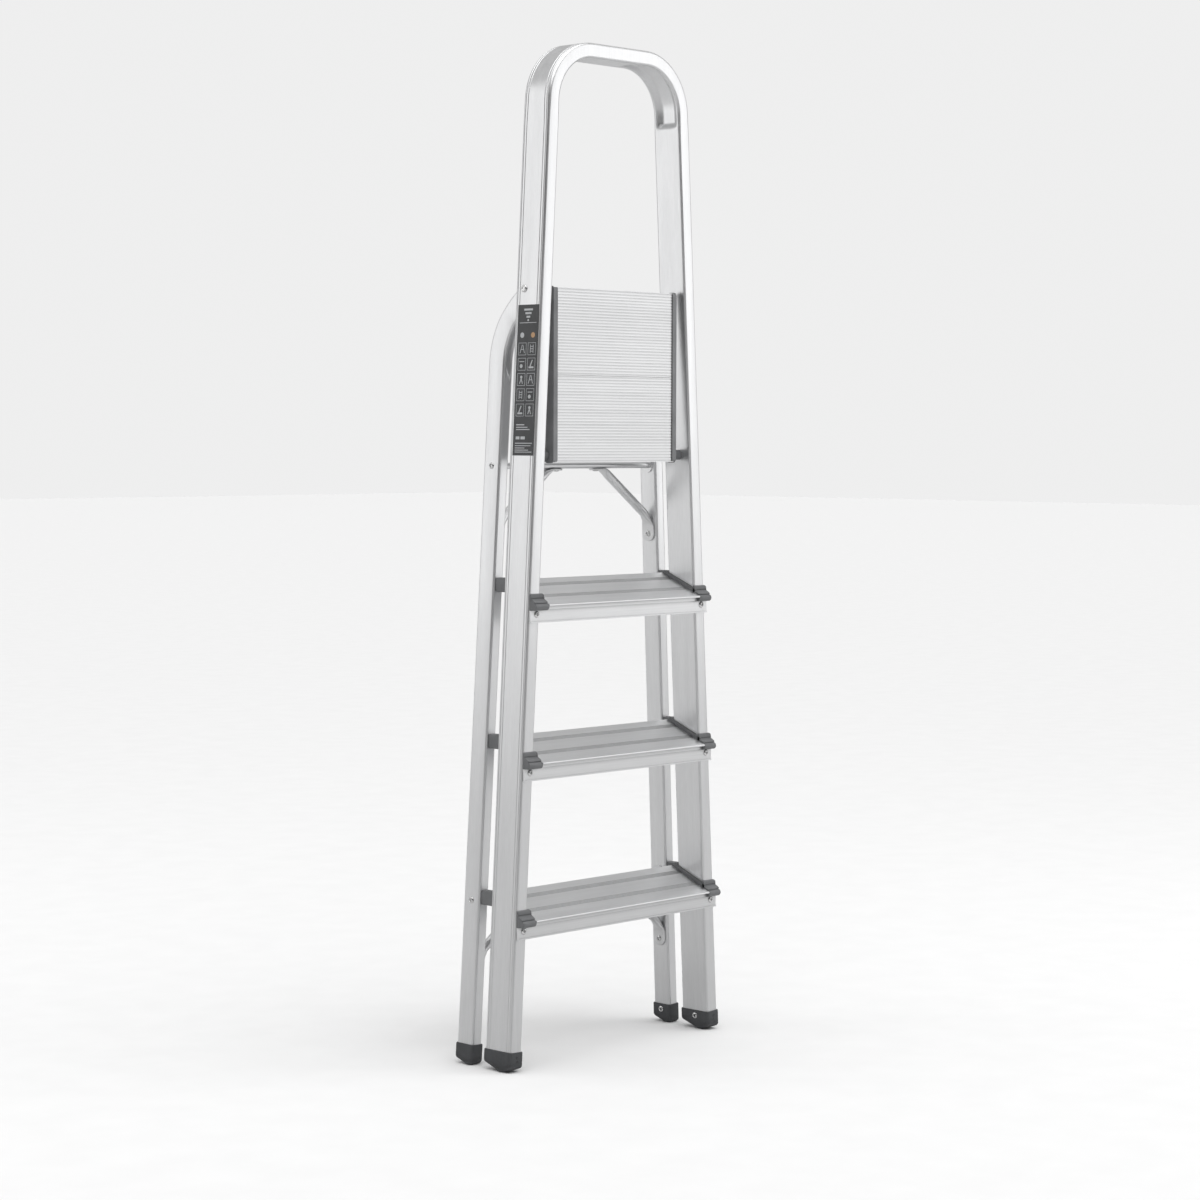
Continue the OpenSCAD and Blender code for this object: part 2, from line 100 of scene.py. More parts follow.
BAR_H = 8.4 * MM
BAR_HEIGHTS = {bar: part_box(bar + "_brace_left")[1].z + BAR_H / 2 for bar in ("upper", "lower")}
BRACE_R = 6.2 * MM
BRACE_PLATE = 2.5 * MM
BRACE_DROP = 97 * MM
BRACE_RUN = 90 * MM
BRACE_TAB = 22 * MM
LABEL_T = 0.3 * MM
LABEL_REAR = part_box("side_label")[1].y - STILE_FRONT
LABEL_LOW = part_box("side_label")[0].z - STILE_W / 2 * math.sin(SPLAY)

SIDES = {"left": -1, "right": 1}

HOOP_MID_R = HOOP_R - STILE_W / 2
HOOP_Z = TOTAL_HEIGHT - HOOP_R
LEG_LEN = (HOOP_Z + HOOP_MID_R * math.sin(SPLAY)) / math.cos(SPLAY)
LEG_X0 = HOOP_X + math.sin(SPLAY) * LEG_LEN + HOOP_MID_R * math.cos(SPLAY)


def leg_matrix(side):
    """Local Z runs up the leg's centreline from the floor, and local Y from the stile's front."""
    splay = Matrix.Rotation(-side * SPLAY, 4, "Y")
    return Matrix.Translation((side * LEG_X0, STILE_FRONT, 0)) @ splay


def outer_x(z):
    """X of the stile's outer face at height z."""
    return LEG_X0 + STILE_W / 2 / math.cos(SPLAY) - math.tan(SPLAY) * z


def inner_x(z):
    """X of the stile's inner face at height z."""
    return outer_x(z) - STILE_W / math.cos(SPLAY)


def rear_mid_y(z):
    """Y of the rear leg's centreline at height z, measured from the stile's front."""
    return REAR_Y - math.tan(REAR_LEAN) * z


def rear_inner_x(z):
    """X of the rear leg's inner face at height z."""
    return LEG_X0 - math.tan(SPLAY) * z - REAR_W / 2 / math.cos(SPLAY)


def rear_matrix(side):
    """As leg_matrix, for the rear leg's centreline, which also leans towards the stile."""
    lean = Matrix.Rotation(REAR_LEAN, 4, "X")
    return leg_matrix(side) @ Matrix.Translation((0, REAR_Y, 0)) @ lean


# ---- Mesh helpers


def make_piece(name, bm, body, material, smooth_angle=35):
    """Turns a bmesh into a piece that rides on a CAD body and takes a material.

    Edges sharper than smooth_angle, in degrees, stay sharp.
    """
    bmesh.ops.remove_doubles(bm, verts=bm.verts, dist=1e-7)
    bmesh.ops.recalc_face_normals(bm, faces=bm.faces)
    mesh = bpy.data.meshes.new(name)
    bm.to_mesh(mesh)
    bm.free()
    for polygon in mesh.polygons:
        polygon.use_smooth = True
    mesh.set_sharp_from_angle(angle=math.radians(smooth_angle))
    mesh.materials.append(material)
    piece = bpy.data.objects.new(name, mesh)
    bpy.context.scene.collection.objects.link(piece)
    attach(piece, body)
    return piece


def skin(bm, rings):
    """Joins rings of points, all with the same count, and gives back their vertices."""
    rows = [[bm.verts.new(p) for p in ring] for ring in rings]
    count = len(rows[0])
    for a, b in zip(rows, rows[1:]):
        for i in range(count):
            j = (i + 1) % count
            bm.faces.new((a[i], a[j], b[j], b[i]))
    return rows


def sweep(bm, rings):
    """Skins the rings and closes both ends."""
    rows = skin(bm, rings)
    bm.faces.new(rows[0][::-1])
    bm.faces.new(rows[-1])


def smoothstep(low, high, value):
    t = min(max((value - low) / (high - low), 0), 1)
    return t * t * (3 - 2 * t)


def corner(cx, cy, radius, start, steps=6):
    """A quarter arc around a corner, anticlockwise from the angle start, in degrees."""
    angles = [math.radians(start + 90 * i / steps) for i in range(steps + 1)]
    return [(cx + radius * math.cos(a), cy + radius * math.sin(a)) for a in angles]


def cut(piece, cutters):
    """Takes boxes, given as (matrix, size), out of a piece, with the result in its mesh."""
    for matrix, size in cutters:
        bm = bmesh.new()
        bmesh.ops.create_cube(bm, size=1, matrix=matrix @ Matrix.Diagonal((*size, 1)))
        mesh = bpy.data.meshes.new("cutter")
        bm.to_mesh(mesh)
        bm.free()
        cutter = bpy.data.objects.new("cutter", mesh)
        bpy.context.scene.collection.objects.link(cutter)
        modifier = piece.modifiers.new("cut", "BOOLEAN")
        modifier.object = cutter
        modifier.operation = "DIFFERENCE"
        modifier.solver = "EXACT"
        bpy.context.view_layer.update()
        evaluated = piece.evaluated_get(bpy.context.evaluated_depsgraph_get())
        result = bpy.data.meshes.new_from_object(evaluated)
        piece.modifiers.remove(modifier)
        bpy.data.objects.remove(cutter)
        piece.data = result


# ---- Materials


class Nodes:
    """A short way to build one procedural material."""

    def __init__(self, name):
        self.material = bpy.data.materials.new(name)
        self.material.use_nodes = True
        self.tree = self.material.node_tree
        self.shader = self.tree.nodes["Principled BSDF"]
        self.place = self.new("ShaderNodeTexCoord").outputs["Object"]

    def new(self, kind, **values):
        node = self.tree.nodes.new(kind)
        for key, value in values.items():
            setattr(node, key, value)
        return node

    def link(self, source, target):
        self.tree.links.new(source, target)

    def noise(self, scale, size, detail=3.0, roughness=0.5):
        """Noise with about size features per metre, squeezed by scale along X, Y and Z."""
        mapping = self.new("ShaderNodeMapping")
        mapping.inputs["Scale"].default_value = scale
        self.link(self.place, mapping.inputs["Vector"])
        noise = self.new("ShaderNodeTexNoise")
        noise.inputs["Scale"].default_value = size
        noise.inputs["Detail"].default_value = detail
        noise.inputs["Roughness"].default_value = roughness
        self.link(mapping.outputs["Vector"], noise.inputs["Vector"])
        return noise.outputs["Fac"]

    def ramp(self, source, low, high, start=0.3, end=0.7):
        """Maps a factor from start to end onto two colours or greys."""
        ramp = self.new("ShaderNodeValToRGB")
        ramp.color_ramp.elements[0].position = start
        ramp.color_ramp.elements[1].position = end
        ramp.color_ramp.elements[0].color = (*low, 1)
        ramp.color_ramp.elements[1].color = (*high, 1)
        self.link(source, ramp.inputs["Fac"])
        return ramp.outputs["Color"]

    def multiply(self, a, b):
        mix = self.new("ShaderNodeMix", data_type="RGBA", blend_type="MULTIPLY")
        mix.inputs["Factor"].default_value = 1.0
        self.link(a, mix.inputs["A"])
        self.link(b, mix.inputs["B"])
        return mix.outputs["Result"]

    def painted_crevice_shade(self, reach, dark, start, end):
        """Painted shade: a grey from ambient occlusion, dark in grooves and corners within reach."""
        shade = self.new("ShaderNodeAmbientOcclusion", samples=8)
        shade.inputs["Distance"].default_value = reach
        return self.ramp(shade.outputs["AO"], grey(dark), grey(1.0), start, end)

    def relief(self, height, distance, strength, edge):
        """Bumps the surface by a height, and softens its edges to the radius edge."""
        bevel = self.new("ShaderNodeBevel", samples=4)
        bevel.inputs["Radius"].default_value = edge
        bump = self.new("ShaderNodeBump")
        bump.inputs["Distance"].default_value = distance
        bump.inputs["Strength"].default_value = strength
        self.link(height, bump.inputs["Height"])
        self.link(bevel.outputs["Normal"], bump.inputs["Normal"])
        self.link(bump.outputs["Normal"], self.shader.inputs["Normal"])


def grey(value):
    return (value, value, value)


def aluminium(name, along, tone, rough=0.34, edge=0.6 * MM, painted_shade_reach=0.0):
    """Satin aluminium with fine drawing streaks along one axis: along is "X" or "Z".

    Its last argument is the reach of the painted shade that darkens its grooves and corners, or 0 for none.
    """
    nodes = Nodes(name)
    stretch = {"X": (0.02, 1, 1), "Z": (1, 1, 0.02)}[along]
    fine = nodes.noise(stretch, 900, detail=4, roughness=0.6)
    broad = nodes.noise(stretch, 120, detail=3)
    cloud = nodes.noise((1, 1, 1), 9, detail=4)
    tint = (tone, tone * 1.004, tone * 1.012)
    streak = tuple(c * 0.95 for c in tint)
    base = nodes.ramp(fine, streak, tint, 0.35, 0.65)
    base = nodes.multiply(base, nodes.ramp(broad, grey(0.95), grey(1.0)))
    base = nodes.multiply(base, nodes.ramp(cloud, grey(0.965), grey(1.0)))
    # Painted shade: ambient occlusion darkens the base colour in grooves and recesses
    if painted_shade_reach:
        base = nodes.multiply(base, nodes.painted_crevice_shade(painted_shade_reach, 0.55, 0.3, 0.95))
    nodes.link(base, nodes.shader.inputs["Base Color"])
    wear = nodes.ramp(broad, grey(rough - 0.03), grey(rough + 0.05))
    nodes.link(wear, nodes.shader.inputs["Roughness"])
    nodes.shader.inputs["Metallic"].default_value = 1.0
    nodes.relief(fine, 0.012 * MM, 0.5, edge)
    return nodes.material


def steel(name, tone, rough):
    """Bright rivet steel with faint turning marks and painted shade darkening its pits and crevices."""
    nodes = Nodes(name)
    marks = nodes.noise((1, 1, 1), 1600, detail=3)
    cloud = nodes.noise((1, 1, 1), 160, detail=3)
    base = nodes.multiply(
        nodes.ramp(marks, grey(tone * 0.9), grey(tone)), nodes.ramp(cloud, grey(0.86), grey(1.0))
    )
    # Painted shade: ambient occlusion darkens the base colour in pits and crevices
    base = nodes.multiply(base, nodes.painted_crevice_shade(2 * MM, 0.06, 0.35, 0.8))
    nodes.link(base, nodes.shader.inputs["Base Color"])
    wear = nodes.ramp(cloud, grey(rough - 0.04), grey(rough + 0.08))
    nodes.link(wear, nodes.shader.inputs["Roughness"])
    nodes.shader.inputs["Metallic"].default_value = 1.0
    nodes.relief(marks, 0.02 * MM, 0.4, 0.3 * MM)
    return nodes.material


def plastic(name, colour, rough, grain, edge=0.5 * MM):
    """Moulded plastic with a fine grain, faint flow clouds and softened edges."""
    nodes = Nodes(name)
    pores = nodes.noise((1, 1, 1), 1500, detail=2)
    cloud = nodes.noise((1, 1, 1), 35, detail=4)
    scuff = nodes.noise((1, 1, 0.25), 260, detail=5, roughness=0.65)
    pale = tuple(min(c * 1.25 + 0.012, 1) for c in colour)
    base = nodes.ramp(cloud, colour, pale, 0.3, 0.75)
    base = nodes.multiply(base, nodes.ramp(pores, grey(0.88), grey(1.0)))
    nodes.link(base, nodes.shader.inputs["Base Color"])
    wear = nodes.ramp(scuff, grey(rough - 0.06), grey(rough + 0.1))
    nodes.link(wear, nodes.shader.inputs["Roughness"])
    nodes.shader.inputs["Specular IOR Level"].default_value = 0.45
    nodes.relief(pores, grain, 0.6, edge)
    return nodes.material


PRINT = plastic("label_print", (0.42, 0.43, 0.44), 0.4, 0.004 * MM, 0.02 * MM)
PRINT_ORANGE = plastic("label_print_orange", (0.42, 0.25, 0.13), 0.4, 0.004 * MM, 0.02 * MM)

MATERIALS = {
    "frame_aluminium": aluminium("frame_aluminium", "Z", 0.80, edge=0.3 * MM),
    # The tread and plank colours are darkened by painted shade in their grooves and recesses
    "tread_aluminium": aluminium(
        "tread_aluminium", "X", 0.82, rough=0.38, edge=0.4 * MM, painted_shade_reach=6 * MM
    ),
    "plank_aluminium": aluminium(
        "plank_aluminium", "X", 0.72, rough=0.36, edge=0.2 * MM, painted_shade_reach=2 * MM
    ),
    "brace_aluminium": aluminium("brace_aluminium", "X", 0.76, rough=0.3),
    "rivet_steel": steel("rivet_steel", 0.78, 0.22),
    "screw_steel": steel("screw_steel", 0.88, 0.2),
    "cap_plastic": plastic("cap_plastic", (0.125, 0.128, 0.132), 0.52, 0.02 * MM, 0.9 * MM),
    "channel_plastic": plastic("channel_plastic", (0.17, 0.173, 0.178), 0.5, 0.02 * MM),
    "foot_plastic": plastic("foot_plastic", (0.045, 0.047, 0.05), 0.62, 0.05 * MM, 0.9 * MM),
    "label_film": plastic("label_film", (0.035, 0.036, 0.038), 0.36, 0.004 * MM, 0.05 * MM),
}

for part in frame["record"]["subparts"]:
    node = frame["nodes"][part["node"]]
    node.data.materials.clear()
    node.data.materials.append(MATERIALS[part["material_slot"]])


# ---- Front frame: one rounded tube with fine grooves, pressed in on the inside of its bends


def stile_profile(dent, softness):
    """Points of the tube's section as (outwards, backwards), its inner wall pressed in by dent.

    softness runs from 0, the drawn tube's corners, to 1, the rounder ones in the bends.
    """
    radius = STILE_CORNER + 0.8 * MM * softness
    half_u, half_v = STILE_W / 2, STILE_D / 2
    groove_w, groove_d = 0.6 * MM, 0.5 * MM
    points = corner(half_u - radius, -half_v + radius, radius, -90)
    near, far = radius + 1 * MM, radius + 5 * MM
    for v in (near - half_v, far - half_v, half_v - far, half_v - near):
        points += [(half_u, v - groove_w), (half_u - groove_d, v), (half_u, v + groove_w)]
    points += corner(half_u - radius, half_v - radius, radius, 0)
    points += corner(-half_u + radius, half_v - radius, radius, 90)
    steps = 24
    flat = half_v - radius
    for i in range(1, steps):
        v = flat - 2 * flat * i / steps
        press = 1 - smoothstep(0.5, 0.98, abs(v) / flat)
        points.append((-half_u + dent * press, v))
    points += corner(-half_u + radius, -half_v + radius, radius, 180)
    return points


def hoop_stations():
    """Rings along the right half of the hoop: (centre X, centre Z, outward angle, dent, softness).

    The dent starts a little below the bend and fades out past it, in the top bar.
    """
    dent_depth = 6 * MM
    dent_below, dent_edge, dent_beyond = 20 * MM, 11 * MM, 30 * MM
    soft_reach = 34 * MM
    fine_step, fine_count, middle_count = 2 * MM, 18, 5
    middle_start = 40 * MM
    stations = []
    end = Vector((HOOP_X + HOOP_MID_R * math.cos(SPLAY), HOOP_Z + HOOP_MID_R * math.sin(SPLAY)))
    down = Vector((math.sin(SPLAY), -math.cos(SPLAY)))
    straight = LEG_LEN - TUBE_START
    plain = [straight * i / 24 for i in range(24, 1, -1)]
    plain += [middle_start + fine_step * i for i in range(middle_count, 0, -1)]
    for distance in plain:
        stations.append((*(end + down * distance), SPLAY, 0.0, 0.0))
    for i in range(fine_count, 0, -1):
        distance = fine_step * i
        dent = dent_depth * (1 - smoothstep(dent_below - dent_edge, dent_below, distance))
        softness = 1 - smoothstep(0, soft_reach, distance)
        stations.append((*(end + down * distance), SPLAY, dent, softness))
    bends = 36
    for i in range(bends + 1):
        angle = SPLAY + (math.pi / 2 - SPLAY) * i / bends
        x = HOOP_X + HOOP_MID_R * math.cos(angle)
        z = HOOP_Z + HOOP_MID_R * math.sin(angle)
        stations.append((x, z, angle, dent_depth, 1.0))
    bars = 16
    for i in range(1, bars + 1):
        x = HOOP_X * (1 - i / bars)
        dent = dent_depth * (1 - smoothstep(0, dent_beyond, HOOP_X - x))
        stations.append((x, HOOP_Z + HOOP_MID_R, math.pi / 2, dent, 1.0))
    return stations


def front_frame():
    half = hoop_stations()
    mirrored = [(-x, z, math.pi - angle, dent, soft) for x, z, angle, dent, soft in half[-2::-1]]
    mid_y = STILE_FRONT + STILE_D / 2
    rings = []
    for x, z, angle, dent, softness in half + mirrored:
        out = Vector((math.cos(angle), 0, math.sin(angle)))
        centre = Vector((x, mid_y, z))
        profile = stile_profile(dent, softness)
        rings.append([centre + out * u + Vector((0, v, 0)) for u, v in profile])
    bm = bmesh.new()
    sweep(bm, rings)
    slot = "frame_aluminium"
    piece = make_piece("front_frame_tube", bm, "front", MATERIALS[slot])
    # The rear leg's neck turns in a slot that is open to the back
    slot_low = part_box("rear_leg_left")[1].z - 56 * MM
    slot_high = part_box("hinge_rivets")[1].z + 13 * MM
    depth, room = STILE_D - 2 * MM, 17 * MM
    cutters = []
    for side in SIDES.values():
        place = Matrix.Translation((0, STILE_D - depth / 2 + 1 * MM, (slot_low + slot_high) / 2))
        cutters.append((leg_matrix(side) @ place, (room, depth, slot_high - slot_low)))
    cut(piece, cutters)
    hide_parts("front_frame")


# ---- Rear legs: bent forwards at the top, pressed in on the inside of the bend


def rear_profile(width, dent):
    """Points of the rear tube's section as (outwards from the bend, across)."""
    half_u, half_v, radius = REAR_D / 2, width / 2, 3 * MM
    points = corner(half_u - radius, -half_v + radius, radius, -90)
    points += corner(half_u - radius, half_v - radius, radius, 0)
    points += corner(-half_u + radius, half_v - radius, radius, 90)
    steps = 12
    flat = half_v - radius
    for i in range(1, steps):
        v = flat - 2 * flat * i / steps
        press = 1 - smoothstep(0.35, 1.0, abs(v) / flat)
        points.append((-half_u + dent * press, v))
    points += corner(-half_u + radius, -half_v + radius, radius, 180)
    return points


def rear_leg(name, side):
    dent_depth = 7 * MM
    place = rear_matrix(side)
    rings = []

    def ring(y, z, angle, width, dent):
        out = Vector((0, math.cos(angle), math.sin(angle)))
        centre = Vector((0, y, z))
        profile = rear_profile(width, dent)
        rings.append([place @ (centre + out * u + Vector((v, 0, 0))) for u, v in profile])

    lead = 30 * MM
    for i in range(24):
        ring(0, TUBE_START + (REAR_BEND_Z - lead - TUBE_START) * i / 24, 0, REAR_W, 0)
    for i in range(12):
        t = i / 12
        ring(0, REAR_BEND_Z - lead * (1 - t), 0, REAR_W, dent_depth * smoothstep(0, 1, t))
    turns = 48
    for i in range(turns + 1):
        degrees = NECK_END * i / turns
        angle = math.radians(degrees)
        y = REAR_BEND_R * (math.cos(angle) - 1)
        z = REAR_BEND_Z + REAR_BEND_R * math.sin(angle)
        width = REAR_W + (NECK_W - REAR_W) * smoothstep(NECK_START - 9, NECK_START, degrees)
        dent = dent_depth * (1 - smoothstep(NECK_START - 8, NECK_START + 6, degrees))
        ring(y, z, angle, width, dent)
    bm = bmesh.new()
    sweep(bm, rings)
    slot = "frame_aluminium"
    piece = make_piece(name + "_tube", bm, "rear", MATERIALS[slot])
    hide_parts(name)


# ---- Tread end caps


def cap_profile():
    """Side view of the moulded nose as (y, z), from the stile's front face round the bead."""
    nose_r = 4.7 * MM
    centre_y, centre_z = -NOSE_OUT + nose_r, -3.4 * MM
    points = [(0, 14), (-2.4, 13.6), (-3.4, 12.6), (-3.8, 8.6), (-3.2, 8.0), (-3.4, 7.4)]
    points += [(-4.6, 7.2), (-9.6, 4.6), (-11.2, 3.2), (-11.4, 1.9), (-10.6, 1.4)]
    points = [(y * MM, z * MM) for y, z in points]
    for i in range(13):
        angle = math.radians(95 + 175 * i / 12)
        y, z = centre_y + nose_r * math.cos(angle), centre_z + nose_r * math.sin(angle)
        points.append((y, z))
    return points + [(-5 * MM, -8 * MM), (0, -8 * MM)]


def plate_length():
    """Length of the tread's sloping top, from the nosing's edge to the back."""
    return (TREAD_BACK + NOSE_OUT - BEAD_R) / math.cos(TREAD_TILT) + BEAD_R * math.tan(TREAD_TILT)


def on_slope(along, above):
    """Turns a place on the tread's sloping top into (y, z) from the nosing's top edge."""
    y = BEAD_R - NOSE_OUT + along * math.cos(TREAD_TILT) - (BEAD_R + above) * math.sin(TREAD_TILT)
    z = -BEAD_R + along * math.sin(TREAD_TILT) + (BEAD_R + above) * math.cos(TREAD_TILT)
    return y, z


def prism(bm, outline, x0, x1, round_off=0.0):
    """An outline in (y, z) drawn out along X, with both ends drawn in by round_off."""
    cy = sum(p[0] for p in outline) / len(outline)
    cz = sum(p[1] for p in outline) / len(outline)
    rings = []
    partway, partly = round_off * 0.3, round_off * 0.35
    steps = ((x0, round_off), (x0 + partway, partly), (x0 + round_off, 0))
    steps += ((x1 - round_off, 0), (x1 - partway, partly), (x1, round_off))
    for x, inset in steps:
        ring = []
        for y, z in outline:
            away = Vector((y - cy, z - cz))
            pull = away.normalized() * min(inset, away.length)
            ring.append(Vector((x, y - pull.x, z - pull.y)))
        rings.append(ring)
    if round_off == 0:
        rings = [rings[0], rings[-1]]
    sweep(bm, rings)


def tread_cap(name, side, top):
    """The nose in front of the stile, the bar along the tread, and the bumper behind the stile.

    The bar has a lip on the tread's side, a valley, and a rim against the stile.
    """
    inner = inner_x(top)
    span = inner - CAP_GAP
    long = plate_length()
    bm = bmesh.new()
    prism(bm, cap_profile(), span, outer_x(top), 1.0 * MM)

    below = 13 * MM
    lip_w, lip_h, lip_round = 1.8 * MM, 4.6 * MM, 0.5 * MM
    rim_w, rim_h, valley_h, overlap = 1.6 * MM, 5 * MM, 1.2 * MM, 0.2 * MM
    lip = (span, span + lip_w, lip_h, lip_round)
    valley = (span + lip_w - overlap, inner - rim_w, valley_h, 0)
    for x0, x1, height, round_off in (lip, valley):
        outline = [on_slope(2.2 * height + 1 * MM, height)]
        for degrees in (90, 60, 30, 0):
            angle = math.radians(degrees)
            back = height * (1 - math.cos(angle)) * 0.9
            outline.append(on_slope(long - back, height * math.sin(angle)))
        outline += [on_slope(long, -below), on_slope(10 * MM, -7 * MM)]
        prism(bm, outline[::-1], x0, x1, round_off)

    rim_front = 20 * MM
    rim = [on_slope(rim_front - 4 * MM, rim_h * 0.8), on_slope(rim_front, rim_h)]
    rim += [on_slope(long - 3 * MM, rim_h), on_slope(long - 0.8 * MM, rim_h * 0.75)]
    rim += [on_slope(long, 0), on_slope(long, -below), on_slope(rim_front, -below)]
    prism(bm, rim[::-1], inner - rim_w, inner + 0.1 * MM, 0)

    # The bumper ends just short of the rear leg when the ladder is folded
    start = STILE_D - 1 * MM
    end = rear_mid_y(top) - REAR_D / 2 - 0.3 * MM
    low, high, slant_y, slant_z = 14 * MM, 33 * MM, 1 * MM, 1.5 * MM
    bumper = [(start, low), (end - slant_y, low), (end, low + slant_z)]
    bumper += [(end, high - slant_z), (end - slant_y, high), (start, high)]
    prism(bm, bumper[::-1], inner + 1.5 * MM, inner + 15 * MM, 1.2 * MM)
    place = Matrix.Translation((0, STILE_FRONT, top)) @ Matrix.Diagonal((side, 1, 1, 1))
    bm.transform(place)
    slot = "cap_plastic"
    piece = make_piece(name + "_moulding", bm, "front", MATERIALS[slot], 28)
    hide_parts(name)


# ---- Feet


def foot_outline(width, depth, radius, inset=0.0):
    """Points (x, y) down the right half of the foot's outline, from its front to its back."""
    half_w, half_d = width / 2 - inset, depth / 2 - inset
    r = max(radius - inset, 0.4 * MM)
    rows = []
    steps = 6
    for i in range(steps + 1):
        a = math.radians(90 * i / steps)
        rows.append((half_w - r + r * math.sin(a), -half_d + r - r * math.cos(a)))
    flat = half_d - r
    for i in range(1, 12):
        rows.append((half_w, -flat + 2 * flat * i / 12))
    for i in range(steps + 1):
        a = math.radians(90 * i / steps)
        rows.append((half_w - r + r * math.cos(a), half_d - r + r * math.sin(a)))
    return rows


def foot(name, body, matrix, width, depth, apex):
    """A moulded cap: a socket round the tube's end, over a sole that slopes up from its apex."""
    bm = bmesh.new()
    outer_w, outer_d = width + 2 * FOOT_WALL, depth + 2 * FOOT_WALL
    up = (matrix.to_3x3() @ Vector((0, 0, 1))).normalized()

    def sole(y):
        return max(abs(y - apex) - SOLE_FLAT / 2, 0) * SOLE_SLOPE

    def ring(inset, above=None, height=None):
        rows = foot_outline(outer_w, outer_d, 4 * MM, inset)
        points = rows + [(-x, y) for x, y in rows[::-1]]
        out = []
        for x, y in points:
            if height is not None:
                out.append(matrix @ Vector((x, y, height)))
                continue
            base = matrix @ Vector((x, y, 0))
            out.append(base + up * ((sole(y) + above - base.z) / up.z))
        return out

    # The sole's rounded edge, three fine lines round it, then the socket
    soft = [(5.0, 0.0), (2.6, 0.35), (1.2, 1.1), (0.4, 2.2), (0.0, 3.4)]
    rings = [ring(inset * MM, above=above * MM) for inset, above in soft]
    for above in (4.6, 6.0, 7.4):
        rings += [ring(0, above=(above - 0.3) * MM), ring(0.3 * MM, above=above * MM),
                  ring(0, above=(above + 0.3) * MM)]
    mouth = [(FOOT_H - 1.6 * MM, 0), (FOOT_H - 0.5 * MM, 0.15 * MM), (FOOT_H, 0.7 * MM)]
    mouth += [(FOOT_H, FOOT_WALL), (TUBE_START, FOOT_WALL)]
    for height, inset in mouth:
        rings.append(ring(inset, height=height))
    rows = skin(bm, rings)
    count = len(rows[0])
    half = count // 2
    for row in (rows[0], rows[-1]):
        for i in range(half - 1):
            bm.faces.new((row[i], row[i + 1], row[count - 2 - i], row[count - 1 - i]))
    slot = "foot_plastic"
    piece = make_piece(name + "_moulding", bm, body, MATERIALS[slot], 30)
    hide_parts(name)


# ---- Rivet and screw heads

# Each shape is radius, height, pit radius, pit depth and shaft length
RIVET = (4.3 * MM, 1.8 * MM, 1.9 * MM, 3.2 * MM, 3.6 * MM)
HINGE_RIVET = (5.2 * MM, 2.6 * MM, 2.8 * MM, 1.3 * MM, STILE_W * 0.52)
SCREW = (4.5 * MM, 2.2 * MM, 2.2 * MM, 1.3 * MM, 5 * MM)
DIMPLE = (1.9 * MM, 0.5 * MM, 1.1 * MM, 0.9 * MM, 1.2 * MM)
HEAD_SMOOTH = 40
FOOT_RIVET_Y, FOOT_RIVET_Z = 22.7 * MM, 19.5 * MM
DIMPLE_HEIGHTS = (20.5 * MM, 15.5 * MM)
# Each screw's place: in from the stile's outer face, out from its front, down from the tread's top
SCREW_IN, SCREW_OUT, SCREW_DOWN = 10.5 * MM, 4 * MM, 13.3 * MM


def head(bm, matrix, radius, height, pit, pit_depth, shaft, cross=False):
    """A domed head on the XY plane with a round or crossed pit in its middle, on a short shaft."""
    turns = 48 if cross else 32
    shares = [0.12, 0.24, 0.36, 0.46, 0.56, 0.66, 0.76, 0.86, 0.94, 1.0]

    def arm(length, width):
        """How deep a point is in one arm of the cross: 1 inside, 0 outside."""
        half = pit * 0.28
        along = 1 - smoothstep(pit * 0.85, pit, abs(length))
        return along * (1 - smoothstep(half * 0.6, half * 1.3, abs(width)))

    def surface(x, y):
        r = math.hypot(x, y) / radius
        top = height * math.sqrt(max(1 - 0.94 * r * r, 0))
        if cross:
            inside = max(arm(x, y), arm(y, x))
        else:
            inside = 1 - smoothstep(pit * 0.8, pit * 1.15, math.hypot(x, y))
        return top - pit_depth * inside

    def circle(r, z=None):
        """A ring of points at height z, or on the head's surface."""
        row = []
        for i in range(turns):
            a = math.tau * i / turns
            x, y = r * math.cos(a), r * math.sin(a)
            row.append(bm.verts.new(matrix @ Vector((x, y, surface(x, y) if z is None else z))))
        return row

    centre = bm.verts.new(matrix @ Vector((0, 0, surface(0, 0))))
    rows = [circle(radius * share) for share in shares]
    shaft_r = radius * 0.55
    rows += [circle(radius, 0.0), circle(shaft_r, 0.0), circle(shaft_r, -shaft)]
    for i in range(turns):
        bm.faces.new((centre, rows[0][i], rows[0][(i + 1) % turns]))
    for a, b in zip(rows, rows[1:]):
        for i in range(turns):
            j = (i + 1) % turns
            bm.faces.new((a[i], b[i], b[j], a[j]))
    bm.faces.new(rows[-1])


def heads(name, body, slot, places, *shape, cross=False):
    """One piece of heads at several places, in place of a CAD node."""
    bm = bmesh.new()
    for matrix in places:
        head(bm, matrix, *shape, cross=cross)
    piece = make_piece(name + "_heads", bm, body, MATERIALS[slot], HEAD_SMOOTH)
    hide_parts(name)


def turn_y(degrees):
    return Matrix.Rotation(math.radians(degrees), 4, "Y")


def turn_x(degrees):
    return Matrix.Rotation(math.radians(degrees), 4, "X")


def brace_plate_z(bar):
    return BAR_HEIGHTS[bar] - BRACE_DROP


def brace_knee_x(bar):
    return rear_inner_x(brace_plate_z(bar)) - BRACE_RUN


def brace_tab_x(bar):
    return brace_knee_x(bar) - BRACE_TAB


def shift(x, y, z):
    return Matrix.Translation((x, y, z))


